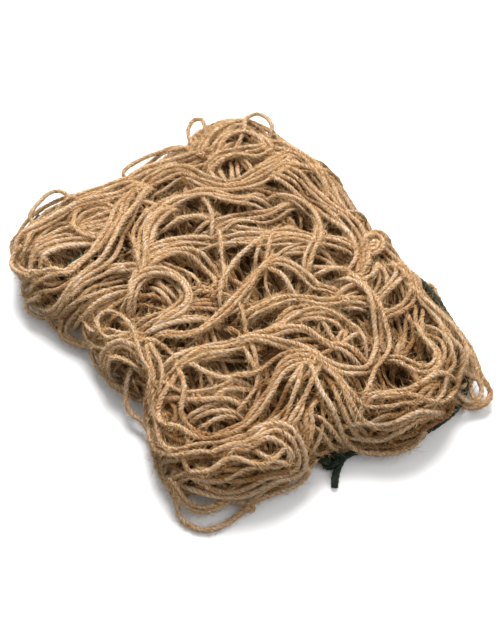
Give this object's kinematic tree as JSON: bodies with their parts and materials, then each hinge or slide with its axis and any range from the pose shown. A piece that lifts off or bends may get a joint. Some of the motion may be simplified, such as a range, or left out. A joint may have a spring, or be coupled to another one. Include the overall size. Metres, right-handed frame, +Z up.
{
  "type": "bundled plant support net",
  "caption": "Soft flat pack of knotted jute twine net, gathered and folded, with loose loops at its edges and a dark green edge cord, for climbing plants.",
  "frame": {"origin": "middle of the net pack's box, on the surface that it lies on", "axes": "+X along the pack's long side, +Y along its short side, +Z up through its thickness"},
  "size_m": [0.2923, 0.2307, 0.0468],
  "materials": {
    "jute_twine": "natural twisted jute, hairy and matt",
    "green_cord": "dark green twisted cord, matt"
  },
  "bodies": {
    "root": {"net_pack": "jute_twine", "edge_cord": "green_cord"}
  },
  "joints": []
}
